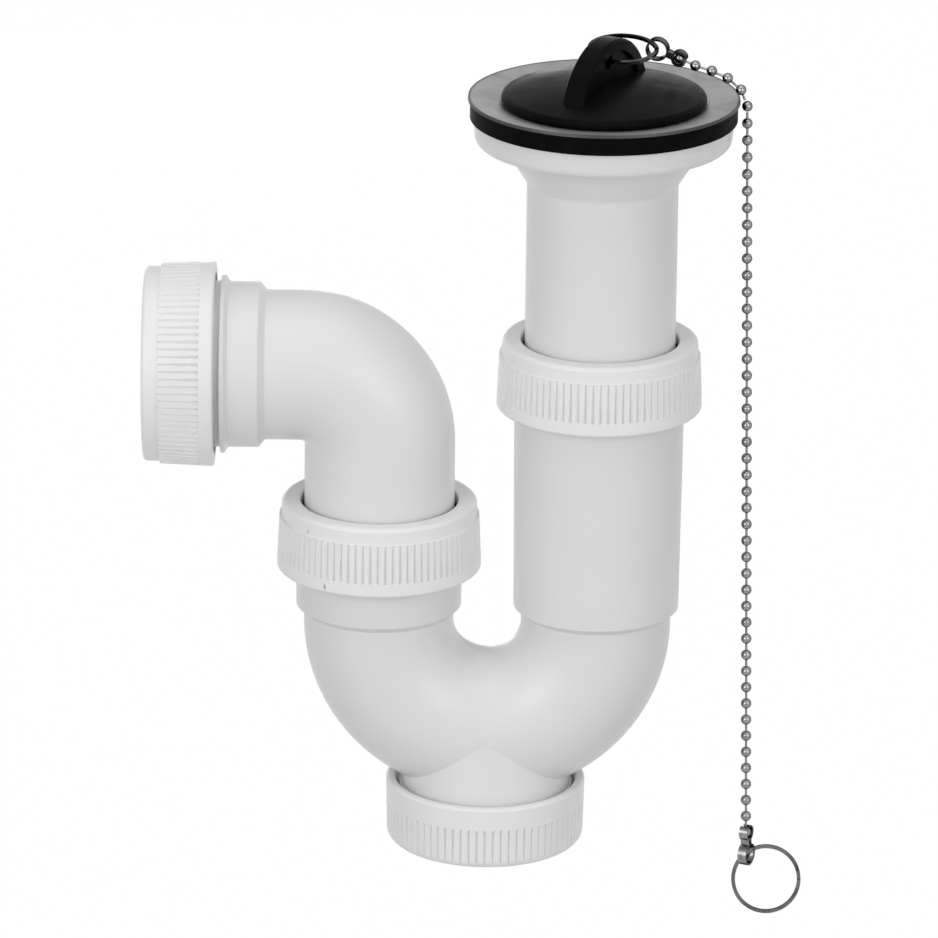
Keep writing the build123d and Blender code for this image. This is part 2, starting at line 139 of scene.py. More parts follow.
class TRAP_PG_finish(PropertyGroup):
    """Colours and marks of the trap's finishes."""

    white: colour("White Plastic", "Moulded pipes", (0.8, 0.8, 0.8))
    # Painted light: the nuts and cap take a lighter copy of the white plastic to offset the shade in their
    # ribs
    lit_grip: colour("Grip Plastic", "Ribbed nuts and cap", (0.88, 0.88, 0.88))
    steel: colour("Steel", "Pressed rim and strainer", (0.33, 0.33, 0.335))
    rubber: colour("Rubber", "Gasket, cone seals and washer", (0.004, 0.004, 0.004))
    plug: colour("Plug", "Black plug with a faint sheen", (0.004, 0.004, 0.0042))
    # Painted shade: the dark band at the steel rim's outer edge stands for the shade where the rim turns
    # down over the black gasket
    edge: length("Shaded Edge", "Width of the dark edge where the steel sheet was cut", 0.0009)
    nickel: colour("Nickel", "Chain and clips", (0.28, 0.28, 0.285))
    # Painted shade: the split rings take a darker copy of the nickel for the dark reflections in their flat
    # faces
    ring: colour("Shaded Ring Nickel", "Darker plate of the split rings", (0.17, 0.17, 0.172))
    brass: colour("Brass", "Insert for the centre screw", (0.6, 0.42, 0.16))
    speck: colour("Speck", "Dark specks moulded into the white", (0.05, 0.05, 0.05))


class TRAP_PG_thread(PropertyGroup):
    """Sizes of the screw threads under the nuts and the cap."""

    pitch: length("Pitch", "Rise of the thread in one turn", 0.002309)
    turns: IntProperty(name="Turns", description="Full turns of each thread", min=1, max=8, default=4)
    steps: IntProperty(name="Steps", description="Facets in one turn", min=16, max=128, default=72)
    root: length("Mouth Root", "Radius that the outer thread stands on", 0.02295)
    crest: length("Mouth Crest", "Radius of the outer thread's crest", 0.0235)
    nut_root: length("Nut Root", "Radius that the inner thread stands on", 0.02395)
    nut_crest: length("Nut Crest", "Radius of the inner thread's crest", 0.02364)
    width: length("Width", "Width of a thread at its root", 0.0014)
    inset: length("Inset", "Distance from the mouth to the first turn", 0.0105)


class TRAP_PG_chain(PropertyGroup):
    """Sizes of the ball chain and its split rings."""

    sides: IntProperty(name="Bead Sides", description="Facets round a bead", min=8, max=32, default=18)
    rings: IntProperty(name="Bead Rings", description="Facets from pole to pole", min=6, max=24, default=12)
    hanging: IntProperty(
        name="Hanging Beads", description="Beads below the rim bead", min=1, max=99, default=44)
    bead: length("Bead", "Radius of a bead", 0.0014)
    wire: length("Wire", "Radius of a link's wire", 0.00036)
    free: length("Free End", "Gap that lets the rim bead turn beside its links", 0.00035)
    run: FloatVectorProperty(
        name="Run", description="Share of the way from the rim to the clip at each bead", size=5,
        default=(0.096, 0.294, 0.527, 0.768, 1.0))
    rise: FloatVectorProperty(
        name="Rise", description="Share of the height from the rim to the clip at each bead", size=5,
        default=(0.384, 0.635, 0.771, 0.857, 1.0))
    clip_bead: FloatVectorProperty(
        name="Clip Bead", description="Place of the bead in the upper clip", subtype="TRANSLATION", size=3,
        default=(0.0195, 0.0061, 0.0096))
    ring: length("Ring", "Outer radius of a split ring", 0.0093)
    ring_wire: length("Ring Wire", "Width of a split ring's wire", 0.001)
    coil: length("Coil", "Rise of a split ring's wire in one turn", 0.00046)


class TRAP_PG_stage(PropertyGroup):
    """Camera, floor and lamps."""

    aim: FloatVectorProperty(
        name="Aim", description="Point in the middle of the picture", subtype="TRANSLATION", size=3,
        default=(-0.03399, 0, -0.10178))
    reach: length("Reach", "Distance from the camera to the aim", 2.107)
    pitch: turn("Pitch", "Angle at which the camera looks down", 19.1)
    roll: turn("Roll", "Turn of the camera about its line of sight", 0.63)
    lens: FloatProperty(name="Lens", description="Focal length in millimetres", default=307.0)
    drop: length("Floor Drop", "Height of the floor below the waste's rim", 0.5)
    left: FloatProperty(name="Left", description="Power of the left front lamp in watts", default=10.6)
    right: FloatProperty(name="Right", description="Power of the right front lamp in watts", default=8.6)
    back: FloatProperty(name="Back", description="Power of the lamp behind in watts", default=4)
    top: FloatProperty(name="Top", description="Power of the top lamp in watts", default=6.8)
    ambient: FloatProperty(name="Ambient", description="Strength of the light from all round", default=0.4)


def new_node(tree, kind, **values):
    """Add a node to a tree and set its own values and its input sockets by name."""
    node = tree.nodes.new(kind)
    for name, value in values.items():
        socket = name.replace("_", " ")
        if socket in node.inputs:
            node.inputs[socket].default_value = value
        else:
            setattr(node, name, value)
    return node


def wire(tree, start, end):
    """Link an output socket to an input socket."""
    tree.links.new(start, end)


def new_group(name, inputs, outputs):
    """Empty shader node group with float inputs and outputs, and its two end nodes."""
    tree = bpy.data.node_groups.new(name, "ShaderNodeTree")
    for label, default in inputs.items():
        socket = tree.interface.new_socket(label, in_out="INPUT", socket_type="NodeSocketFloat")
        socket.default_value = default
    for label in outputs:
        tree.interface.new_socket(label, in_out="OUTPUT", socket_type="NodeSocketFloat")
    return tree, tree.nodes.new("NodeGroupInput"), tree.nodes.new("NodeGroupOutput")


def moulded_skin():
    """Fine grain, broad flow marks and rare dark specks of a plastic moulding."""
    if "Moulded Skin" in bpy.data.node_groups:
        return bpy.data.node_groups["Moulded Skin"]
    tree, start, end = new_group(
        "Moulded Skin", {"Grain": 2600.0, "Flow": 45.0, "Specks": 70.0}, ("Height", "Tone", "Speck"))
    place = tree.nodes.new("ShaderNodeTexCoord").outputs["Object"]
    grain = new_node(tree, "ShaderNodeTexNoise", Detail=3.0, Roughness=0.6)
    flow = new_node(tree, "ShaderNodeTexNoise", Detail=2.0, Roughness=0.5)
    cells = tree.nodes.new("ShaderNodeTexVoronoi")
    near = new_node(tree, "ShaderNodeMapRange", From_Min=0.012, From_Max=0.03, To_Min=1.0, To_Max=0.0)
    chance = new_node(tree, "ShaderNodeSeparateColor")
    rare = new_node(tree, "ShaderNodeMath", operation="GREATER_THAN")
    rare.inputs[1].default_value = SPECK_DRAW
    speck = new_node(tree, "ShaderNodeMath", operation="MULTIPLY")
    for texture, scale in ((grain, "Grain"), (flow, "Flow"), (cells, "Specks")):
        wire(tree, place, texture.inputs["Vector"])
        wire(tree, start.outputs[scale], texture.inputs["Scale"])
    wire(tree, cells.outputs["Distance"], near.inputs["Value"])
    wire(tree, cells.outputs["Color"], chance.inputs["Color"])
    wire(tree, chance.outputs["Red"], rare.inputs[0])
    wire(tree, near.outputs["Result"], speck.inputs[0])
    wire(tree, rare.outputs["Value"], speck.inputs[1])
    wire(tree, grain.outputs["Fac"], end.inputs["Height"])
    wire(tree, flow.outputs["Fac"], end.inputs["Tone"])
    wire(tree, speck.outputs["Value"], end.inputs["Speck"])
    return tree


def mould_spots():
    """Dark upright flecks at the places where the union nut shows them."""
    if "Mould Spots" in bpy.data.node_groups:
        return bpy.data.node_groups["Mould Spots"]
    tree, start, end = new_group("Mould Spots", {"Width": 0.0005}, ("Spot",))
    place = tree.nodes.new("ShaderNodeTexCoord").outputs["Object"]
    some = None
    for spot in SPOTS:
        away = new_node(tree, "ShaderNodeVectorMath", operation="SUBTRACT")
        squash = new_node(tree, "ShaderNodeVectorMath", operation="MULTIPLY")
        reach = new_node(tree, "ShaderNodeVectorMath", operation="LENGTH")
        near = new_node(tree, "ShaderNodeMapRange", To_Min=1.0, To_Max=0.0)
        away.inputs[1].default_value = spot
        squash.inputs[1].default_value = FLECK_SQUASH
        wire(tree, place, away.inputs[0])
        wire(tree, away.outputs["Vector"], squash.inputs[0])
        wire(tree, squash.outputs["Vector"], reach.inputs[0])
        wire(tree, reach.outputs["Value"], near.inputs["Value"])
        wire(tree, start.outputs["Width"], near.inputs["From Max"])
        if some is not None:
            most = new_node(tree, "ShaderNodeMath", operation="MAXIMUM")
            wire(tree, some, most.inputs[0])
            wire(tree, near.outputs["Result"], most.inputs[1])
            some = most.outputs["Value"]
        else:
            some = near.outputs["Result"]
    wire(tree, some, end.inputs["Spot"])
    return tree


def parting_line():
    """Fine raised seam where the mould's halves met, in the plane of the bends."""
    if "Parting Line" in bpy.data.node_groups:
        return bpy.data.node_groups["Parting Line"]
    tree, start, end = new_group("Parting Line", {"Half Width": 0.00016}, ("Height",))
    place = tree.nodes.new("ShaderNodeTexCoord").outputs["Object"]
    split = tree.nodes.new("ShaderNodeSeparateXYZ")
    away = new_node(tree, "ShaderNodeMath", operation="ABSOLUTE")
    ridge = new_node(tree, "ShaderNodeMapRange", To_Min=1.0, To_Max=0.0, interpolation_type="SMOOTHSTEP")
    wire(tree, place, split.inputs["Vector"])
    wire(tree, split.outputs["Y"], away.inputs[0])
    wire(tree, away.outputs["Value"], ridge.inputs["Value"])
    wire(tree, start.outputs["Half Width"], ridge.inputs["From Max"])
    wire(tree, ridge.outputs["Result"], end.inputs["Height"])
    return tree


def handling_marks():
    """Smudges and fine scratches left by handling."""
    if "Handling Marks" in bpy.data.node_groups:
        return bpy.data.node_groups["Handling Marks"]
    tree, start, end = new_group(
        "Handling Marks", {"Smudge": 110.0, "Scratch": 900.0}, ("Smudge", "Scratch"))
    place = tree.nodes.new("ShaderNodeTexCoord").outputs["Object"]
    smudge = new_node(tree, "ShaderNodeTexNoise", Detail=4.0, Roughness=0.62, Distortion=0.6)
    patch = new_node(tree, "ShaderNodeMapRange", From_Min=0.48, From_Max=0.72)
    along = new_node(tree, "ShaderNodeMapping", Scale=(1.0, 0.06, 0.06), Rotation=(0.0, 0.0, 0.6))
    scratch = new_node(tree, "ShaderNodeTexNoise", Detail=1.0)
    line = new_node(tree, "ShaderNodeMapRange", From_Min=0.66, From_Max=0.74)
    wire(tree, place, smudge.inputs["Vector"])
    wire(tree, place, along.inputs["Vector"])
    wire(tree, along.outputs["Vector"], scratch.inputs["Vector"])
    for texture, ramp, label in ((smudge, patch, "Smudge"), (scratch, line, "Scratch")):
        wire(tree, start.outputs[label], texture.inputs["Scale"])
        wire(tree, texture.outputs["Fac"], ramp.inputs["Value"])
        wire(tree, ramp.outputs["Result"], end.inputs[label])
    return tree


def ring_brushing():
    """Fine rings round the waste's axis, and the distance from it."""
    if "Ring Brushing" in bpy.data.node_groups:
        return bpy.data.node_groups["Ring Brushing"]
    tree, start, end = new_group("Ring Brushing", {"Rings": 5200.0}, ("Height", "Radius"))
    place = tree.nodes.new("ShaderNodeTexCoord").outputs["Object"]
    flat = new_node(tree, "ShaderNodeVectorMath", operation="MULTIPLY")
    flat.inputs[1].default_value = (1, 1, 0)
    reach = new_node(tree, "ShaderNodeVectorMath", operation="LENGTH")
    across = new_node(tree, "ShaderNodeCombineXYZ")
    fine = new_node(tree, "ShaderNodeTexNoise", Detail=2.0)
    wire(tree, place, flat.inputs[0])
    wire(tree, flat.outputs["Vector"], reach.inputs[0])
    wire(tree, reach.outputs["Value"], across.inputs["X"])
    wire(tree, across.outputs["Vector"], fine.inputs["Vector"])
    wire(tree, start.outputs["Rings"], fine.inputs["Scale"])
    wire(tree, fine.outputs["Fac"], end.inputs["Height"])
    wire(tree, reach.outputs["Value"], end.inputs["Radius"])
    return tree


def new_material(name, **values):
    """Material with its Principled shader, whose plain sockets are set by name."""
    material = bpy.data.materials.new(name)
    material.use_nodes = True
    shader = material.node_tree.nodes["Principled BSDF"]
    for label, value in values.items():
        shader.inputs[label.replace("_", " ")].default_value = value
    return material, material.node_tree, shader


def place_group(tree, group, **values):
    """Put a node group into a material with its own values."""
    node = tree.nodes.new("ShaderNodeGroup")
    node.node_tree = group
    for label, value in values.items():
        node.inputs[label.replace("_", " ")].default_value = value
    return node


def shade(tree, mask, dark, light):
    """Colour that goes from dark to light with a mask."""
    mix = new_node(tree, "ShaderNodeMix", data_type="RGBA")
    mix.inputs[MIX_FROM].default_value = (*dark, 1)
    mix.inputs[MIX_TO].default_value = (*light, 1)
    wire(tree, mask, mix.inputs["Factor"])
    return mix


def spread(tree, mask, low, high):
    """Value that goes from low to high with a mask."""
    node = new_node(tree, "ShaderNodeMapRange", To_Min=low, To_Max=high)
    wire(tree, mask, node.inputs["Value"])
    return node.outputs["Result"]


def raise_surface(tree, shader, height, strength, distance, before=None):
    """Bump the shader's normal by a height, over an earlier bump if one is given."""
    bump = new_node(tree, "ShaderNodeBump", Strength=strength, Distance=distance)
    wire(tree, height, bump.inputs["Height"])
    if before is not None:
        wire(tree, before.outputs["Normal"], bump.inputs["Normal"])
    wire(tree, bump.outputs["Normal"], shader.inputs["Normal"])
    return bump


def dim(tone, share):
    """A colour times a share: darker below one and lighter above."""
    return tuple(part * share for part in tone)


def white_plastic(name, white, grain, seam):
    """Satin white plastic with moulding grain, flow marks, specks, flecks and perhaps a parting line."""
    finish = bpy.context.scene.trap_finish
    material, tree, shader = new_material(name, Specular_IOR_Level=0.4)
    skin = place_group(tree, moulded_skin(), Grain=grain)
    marks = place_group(tree, handling_marks(), Smudge=60.0)
    tone = shade(tree, skin.outputs["Tone"], dim(white, share=0.965), white)
    speck = shade(tree, skin.outputs["Speck"], white, finish.speck)
    wire(tree, tone.outputs[MIX_RESULT], speck.inputs[MIX_FROM])
    spot = shade(tree, place_group(tree, mould_spots()).outputs["Spot"], white, finish.speck)
    wire(tree, speck.outputs[MIX_RESULT], spot.inputs[MIX_FROM])
    wire(tree, spot.outputs[MIX_RESULT], shader.inputs["Base Color"])
    wire(tree, spread(tree, marks.outputs["Smudge"], low=0.33, high=0.42), shader.inputs["Roughness"])
    bump = raise_surface(tree, shader, skin.outputs["Height"], strength=0.12, distance=0.0001)
    if seam:
        line = place_group(tree, parting_line())
        raise_surface(tree, shader, line.outputs["Height"], strength=0.35, distance=0.00012, before=bump)
    return material


def shaded_slip_ring_plastic():
    """Dull near-black finish of the slip rings, painted shade for the gaps between the tubes and the nuts.
    """
    finish = bpy.context.scene.trap_finish
    material, tree, shader = new_material("Slip Ring Plastic", Specular_IOR_Level=0.3)
    skin = place_group(tree, moulded_skin(), Grain=1800.0)
    tone = shade(tree, skin.outputs["Tone"], dim(finish.rubber, share=1.5), dim(finish.rubber, share=2.5))
    wire(tree, tone.outputs[MIX_RESULT], shader.inputs["Base Color"])
    wire(tree, spread(tree, skin.outputs["Tone"], low=0.5, high=0.62), shader.inputs["Roughness"])
    raise_surface(tree, shader, skin.outputs["Height"], strength=0.15, distance=0.0001)
    return material


def black_rubber(name, low, high):
    """Black rubber with a fine skin and faint smudges."""
    finish = bpy.context.scene.trap_finish
    material, tree, shader = new_material(name, Specular_IOR_Level=0.015)
    skin = place_group(tree, moulded_skin(), Grain=1500.0, Flow=120.0)
    marks = place_group(tree, handling_marks())
    tone = shade(tree, marks.outputs["Smudge"], finish.rubber, dim(finish.rubber, share=1.6))
    wire(tree, tone.outputs[MIX_RESULT], shader.inputs["Base Color"])
    wire(tree, spread(tree, skin.outputs["Tone"], low, high), shader.inputs["Roughness"])
    raise_surface(tree, shader, skin.outputs["Height"], strength=0.2, distance=0.00012)
    return material


def plug_gloss():
    """Black of the plug with a faint sheen, smudges and fine scratches."""
    finish = bpy.context.scene.trap_finish
    material, tree, shader = new_material("Plug Gloss", Specular_IOR_Level=0.02)
    skin = place_group(tree, moulded_skin(), Grain=420.0, Flow=90.0)
    marks = place_group(tree, handling_marks(), Smudge=130.0)
    tone = shade(tree, marks.outputs["Smudge"], finish.plug, dim(finish.plug, share=1.8))
    wire(tree, tone.outputs[MIX_RESULT], shader.inputs["Base Color"])
    wire(tree, spread(tree, marks.outputs["Smudge"], low=0.3, high=0.42), shader.inputs["Roughness"])
    bump = raise_surface(tree, shader, skin.outputs["Height"], strength=0.06, distance=0.0003)
    raise_surface(tree, shader, marks.outputs["Scratch"], strength=0.03, distance=0.00005, before=bump)
    return material


def pressed_steel():
    """Satin pressed sheet with ring brushing, smudges and painted shade that darkens its outer edge."""
    finish = bpy.context.scene.trap_finish
    material, tree, shader = new_material("Pressed Steel", Metallic=1.0)
    rings = place_group(tree, ring_brushing())
    marks = place_group(tree, handling_marks(), Smudge=85.0)
    tone = shade(tree, marks.outputs["Smudge"], finish.steel, dim(finish.steel, share=0.72))
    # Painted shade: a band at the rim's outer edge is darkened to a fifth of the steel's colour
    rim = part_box("steel_flange")[1].x
    outer = new_node(
        tree, "ShaderNodeMapRange", From_Min=rim - finish.edge, From_Max=rim - finish.edge * FULLY_DARK)
    wire(tree, rings.outputs["Radius"], outer.inputs["Value"])
    shaded = shade(tree, outer.outputs["Result"], finish.steel, dim(finish.steel, share=0.2))
    wire(tree, tone.outputs[MIX_RESULT], shaded.inputs[MIX_FROM])
    wire(tree, shaded.outputs[MIX_RESULT], shader.inputs["Base Color"])
    wire(tree, spread(tree, rings.outputs["Height"], low=0.36, high=0.56), shader.inputs["Roughness"])
    bump = raise_surface(tree, shader, rings.outputs["Height"], strength=0.1, distance=0.00006)
    raise_surface(tree, shader, marks.outputs["Scratch"], strength=0.12, distance=0.00004, before=bump)
    return material


def nickel_plate(name, nickel, smudge, dull):
    """Nickel with a few dull spots, and painted dark reflections where it turns away."""
    # Painted reflection: the near-black edge tint stands for dark surroundings mirrored at the metal's
    # turned-away edges
    material, tree, shader = new_material(name, Metallic=1.0, Specular_Tint=(0.03, 0.03, 0.03, 1))
    marks = place_group(tree, handling_marks(), Smudge=smudge)
    tone = shade(tree, marks.outputs["Smudge"], nickel, dim(nickel, dull))
    wire(tree, tone.outputs[MIX_RESULT], shader.inputs["Base Color"])
    wire(tree, spread(tree, marks.outputs["Smudge"], low=0.12, high=0.3), shader.inputs["Roughness"])
    raise_surface(tree, shader, marks.outputs["Scratch"], strength=0.1, distance=0.00003)
    return material


def turned_brass():
    """Brass with turning rings."""
    finish = bpy.context.scene.trap_finish
    material, tree, shader = new_material("Turned Brass", Metallic=1.0)
    rings = place_group(tree, ring_brushing(), Rings=6000.0)
    tone = shade(tree, rings.outputs["Height"], dim(finish.brass, share=0.75), finish.brass)
    wire(tree, tone.outputs[MIX_RESULT], shader.inputs["Base Color"])
    wire(tree, spread(tree, rings.outputs["Height"], low=0.25, high=0.42), shader.inputs["Roughness"])
    raise_surface(tree, shader, rings.outputs["Height"], strength=0.2, distance=0.00005)
    return material


def finish_nodes(names, material):
    """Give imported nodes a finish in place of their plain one."""
    for name in names:
        mesh = frame["nodes"][name].data
        mesh.materials.clear()
        mesh.materials.append(material)


def deselect():
    """Leave edit mode and select nothing."""
    if bpy.context.object and bpy.context.object.mode != "OBJECT":
        bpy.ops.object.mode_set(mode="OBJECT")
    bpy.ops.object.select_all(action="DESELECT")


def pick_vertices(piece, test):
    """Select the vertices of the piece in edit mode whose place passes a test."""
    bpy.ops.mesh.select_mode(type="VERT")
    bpy.ops.mesh.select_all(action="DESELECT")
    bpy.ops.object.mode_set(mode="OBJECT")
    for vertex in piece.data.vertices:
        vertex.select = test(vertex.co)
    bpy.ops.object.mode_set(mode="EDIT")


def settle(piece, name, place):
    """Name a piece and move its mesh to its place in the frame."""
    deselect()
    piece.name = name
    piece.data.name = name
    piece.select_set(True)
    bpy.context.view_layer.objects.active = piece
    piece.matrix_world = place
    bpy.ops.object.transform_apply(location=True, rotation=True, scale=True)
    return piece


def repeat(pattern, places, name):
    """Copy a pattern to each place, join the copies into one piece and drop the pattern."""
    deselect()
    copies = []
    for place in places:
        copy = pattern.copy()
        copy.data = pattern.data.copy()
        bpy.context.collection.objects.link(copy)
        copy.matrix_world = place
        copy.select_set(True)
        copies.append(copy)
    bpy.context.view_layer.objects.active = copies[0]
    if len(copies) > 1:
        bpy.ops.object.join()
    bpy.ops.object.transform_apply(location=True, rotation=True, scale=True)
    copies[0].name = name
    copies[0].data.name = name
    bpy.data.objects.remove(pattern)
    return copies[0]


def upright(at, along):
    """Matrix that stands a piece's Z along a direction at a point."""
    return Matrix.Translation(at) @ along.to_track_quat("Z", "Y").to_matrix().to_4x4()


def joint_line(name):
    """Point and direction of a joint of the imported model."""
    joint = next(j for j in frame["joints"] if j["name"] == name)
    return Vector(joint["pos_m"]), Vector(joint["axis"])


def wind(root, crest, low, width, tip, pitch, turns, steps):
    """Helical ridge about Z that starts at a height and narrows from its root to its crest by a share."""
    deselect()
    bpy.ops.mesh.primitive_plane_add(
        size=1, location=((root + crest) / 2, 0, low), rotation=(math.pi / 2, 0, 0))
    ridge = bpy.context.object
    ridge.scale = (abs(crest - root), width, 1)
    bpy.ops.object.transform_apply(location=True, rotation=True, scale=True)
    bpy.ops.object.mode_set(mode="EDIT")
    pick_vertices(ridge, lambda co: abs(co.x - crest) < abs(co.x - root))
    bpy.ops.transform.resize(value=(1, 1, tip), center_override=(crest, 0, low))
    bpy.ops.mesh.select_all(action="SELECT")
    bpy.ops.mesh.delete(type="ONLY_FACE")
    bpy.ops.object.mode_set(mode="OBJECT")
    winding = ridge.modifiers.new("Winding", "SCREW")
    winding.screw_offset = pitch
    winding.iterations = turns
    winding.steps = steps
    winding.render_steps = steps
    winding.use_merge_vertices = False
    bpy.ops.object.modifier_apply(modifier=winding.name)
    bpy.ops.object.mode_set(mode="EDIT")
    bpy.ops.mesh.select_all(action="SELECT")
    bpy.ops.mesh.fill_holes(sides=4)
    bpy.ops.mesh.select_all(action="SELECT")
    bpy.ops.mesh.normals_make_consistent(inside=False)
    bpy.ops.object.mode_set(mode="OBJECT")
    bpy.ops.object.shade_smooth_by_angle(angle=WOUND_SMOOTHING)
    return ridge


def wind_thread(root, crest):
    """Screw thread that starts below its mouth."""
    size = bpy.context.scene.trap_thread
    return wind(
        root, crest, low=-size.inset, width=size.width, tip=THREAD_TIP, pitch=size.pitch, turns=size.turns,
        steps=size.steps)


def wind_ring():
    """Split ring of two flat turns of wire, centred on the origin."""
    size = bpy.context.scene.trap_chain
    return wind(
        size.ring - size.ring_wire, size.ring, low=-size.coil, width=size.coil * RING_WIRE_SHARE,
        tip=RING_TIP, pitch=size.coil, turns=RING_TURNS, steps=RING_STEPS)


def flat_place(node):
    """Matrix that stands Z on the flat side of a packed ring, at its centre."""
    low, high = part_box(node)
    centre = (low + high) / 2
    corners = frame["nodes"][node].data.vertices
    far = max((v.co - centre for v in corners), key=lambda arm: arm.length)
    side = max((v.co - centre for v in corners), key=lambda arm: far.cross(arm).length)
    return upright(centre, far.cross(side))


def turn_bead():
    """One bead with a small hole drawn in at each pole."""
    size = bpy.context.scene.trap_chain
    deselect()
    bpy.ops.mesh.primitive_uv_sphere_add(segments=size.sides, ring_count=size.rings, radius=size.bead)
    bead = bpy.context.object
    bpy.ops.object.mode_set(mode="EDIT")
    pole = size.bead * math.cos(POLE_RINGS * math.pi / size.rings)
    pick_vertices(bead, lambda co: abs(co.z) > pole)
    bpy.ops.mesh.inset(thickness=size.bead * POLE_BORDER)
    bpy.ops.mesh.extrude_region()
    bpy.ops.transform.resize(value=POLE_DRAW, center_override=(0, 0, 0))
    bpy.ops.object.mode_set(mode="OBJECT")
    bpy.ops.object.shade_smooth_by_angle(angle=CHAIN_SMOOTHING)
    return bead


def draw_link(span):
    """One wire link along Z, waisted in the middle, with its lower end at the origin."""
    size = bpy.context.scene.trap_chain
    deselect()
    bpy.ops.mesh.primitive_circle_add(vertices=LINK_SIDES, radius=size.wire)
    link = bpy.context.object
    bpy.ops.object.mode_set(mode="EDIT")
    bpy.ops.mesh.select_all(action="SELECT")
    middle = 1 - 2 * LINK_END
    for share, waist in ((LINK_END, LINK_WAIST), (middle, 1.0), (LINK_END, 1 / LINK_WAIST)):
        bpy.ops.mesh.extrude_edges_move(TRANSFORM_OT_translate={"value": (0, 0, span * share)})
        bpy.ops.transform.resize(value=(waist, waist, 1), center_override=(0, 0, 0))
    bpy.ops.mesh.select_all(action="SELECT")
    bpy.ops.mesh.fill_holes(sides=LINK_SIDES)
    bpy.ops.mesh.select_all(action="SELECT")
    bpy.ops.mesh.normals_make_consistent(inside=False)
    bpy.ops.object.mode_set(mode="OBJECT")
    bpy.ops.object.shade_smooth_by_angle(angle=CHAIN_SMOOTHING)
    return link


def rim_point():
    """Centre of the bead at the rim's edge."""
    low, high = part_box("rim_bead")
    return (low + high) / 2


def hanging_points():
    """Centres of the beads from the rim down to the lower clip."""
    size = bpy.context.scene.trap_chain
    first = rim_point()
    half = (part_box("rim_bead")[1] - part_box("rim_bead")[0]) / 2
    low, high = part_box("hanging_beads")
    last = Vector((high.x - half.x, first.y, low.z + half.z))
    return [first.lerp(last, i / size.hanging) for i in range(size.hanging + 1)]


def draped_points():
    """Centres of the beads from the rim back over the flange to the upper clip."""
    size = bpy.context.scene.trap_chain
    rim = rim_point()
    span = Vector(size.clip_bead) - rim
    steps = [Vector((span.x * run, span.y * run, span.z * rise)) for run, rise in zip(size.run, size.rise)]
    return [rim, *[rim + step for step in steps]]


def bead_places(points):
    """Matrices of the beads after the first one, with their poles along the chain."""
    return [upright(b, b - a) for a, b in zip(points, points[1:])]


def link_places(points):
    """Matrices that stretch a link of unit length from bead to bead, free of the first bead."""
    size = bpy.context.scene.trap_chain
    room = size.bead * LINK_SEAT
    start = size.bead + size.free
    places = []
    for a, b in zip(points, points[1:]):
        along = (b - a).normalized()
        reach = (b - a).length - start - room
        places.append(upright(a + along * start, along) @ Matrix.Diagonal((1, 1, reach, 1)))
        start = room
    return places


def dress(piece, body, node, material):
    """Give a new piece its finish and its body, and hide the node it stands for."""
    piece.data.materials.clear()
    piece.data.materials.append(material)
    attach(piece, body)
    if node:
        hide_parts(node)
    return piece


class TRAP_OT_mouldings(Operator):
    """Finish the white pipes, nuts, cap and slip rings"""

    bl_idname = "trap.mouldings"
    bl_label = "White Mouldings"

    def execute(self, context):
        finish = context.scene.trap_finish
        finish_nodes(MOULDINGS, white_plastic("White Pipe Plastic", finish.white, grain=2600.0, seam=True))
        # Painted light: the grips' white is lighter than the pipes' to offset the shade in their ribs
        finish_nodes(GRIPS, white_plastic("Lit White Grip Plastic", finish.lit_grip, grain=1900.0, seam=False))
        # Painted shade: the slip rings are made near black so the gaps between tubes and nuts read dark
        finish_nodes(SLIP_RINGS, shaded_slip_ring_plastic())
        return {"FINISHED"}


class TRAP_OT_seals(Operator):
    """Finish the gasket, the cone seals and the washer"""

    bl_idname = "trap.seals"
    bl_label = "Rubber Seals"

    def execute(self, context):
        finish_nodes(("flange_gasket",), black_rubber("Gasket Rubber", low=0.38, high=0.5))
        finish_nodes(SEALS, black_rubber("Seal Rubber", low=0.5, high=0.68))
        return {"FINISHED"}


class TRAP_OT_waste(Operator):
    """Finish the steel rim, the centre screw, its insert and the plug"""

    bl_idname = "trap.waste"
    bl_label = "Waste and Plug"

    def execute(self, context):
        finish_nodes(("steel_flange", "centre_screw"), pressed_steel())
        finish_nodes(("brass_insert",), turned_brass())
        finish_nodes(("plug",), plug_gloss())
        return {"FINISHED"}


class TRAP_OT_threads(Operator):
    """Wind the screw threads on the mouths and inside the nuts and the cap"""

    bl_idname = "trap.threads"
    bl_label = "Screw Threads"

    def execute(self, context):
        size = context.scene.trap_thread
        pipe = bpy.data.materials["White Pipe Plastic"]
        lit_grip = bpy.data.materials["Lit White Grip Plastic"]
        for cover, (joint, body) in SCREW_JOINTS.items():
            place = upright(*joint_line(joint))
            outer = settle(wind_thread(size.root, size.crest), f"{cover}_mouth_thread", place)
            dress(outer, body, None, pipe)
            inner = settle(wind_thread(size.nut_root, size.nut_crest), f"{cover}_inner_thread", place)
            dress(inner, cover, None, lit_grip)
        return {"FINISHED"}


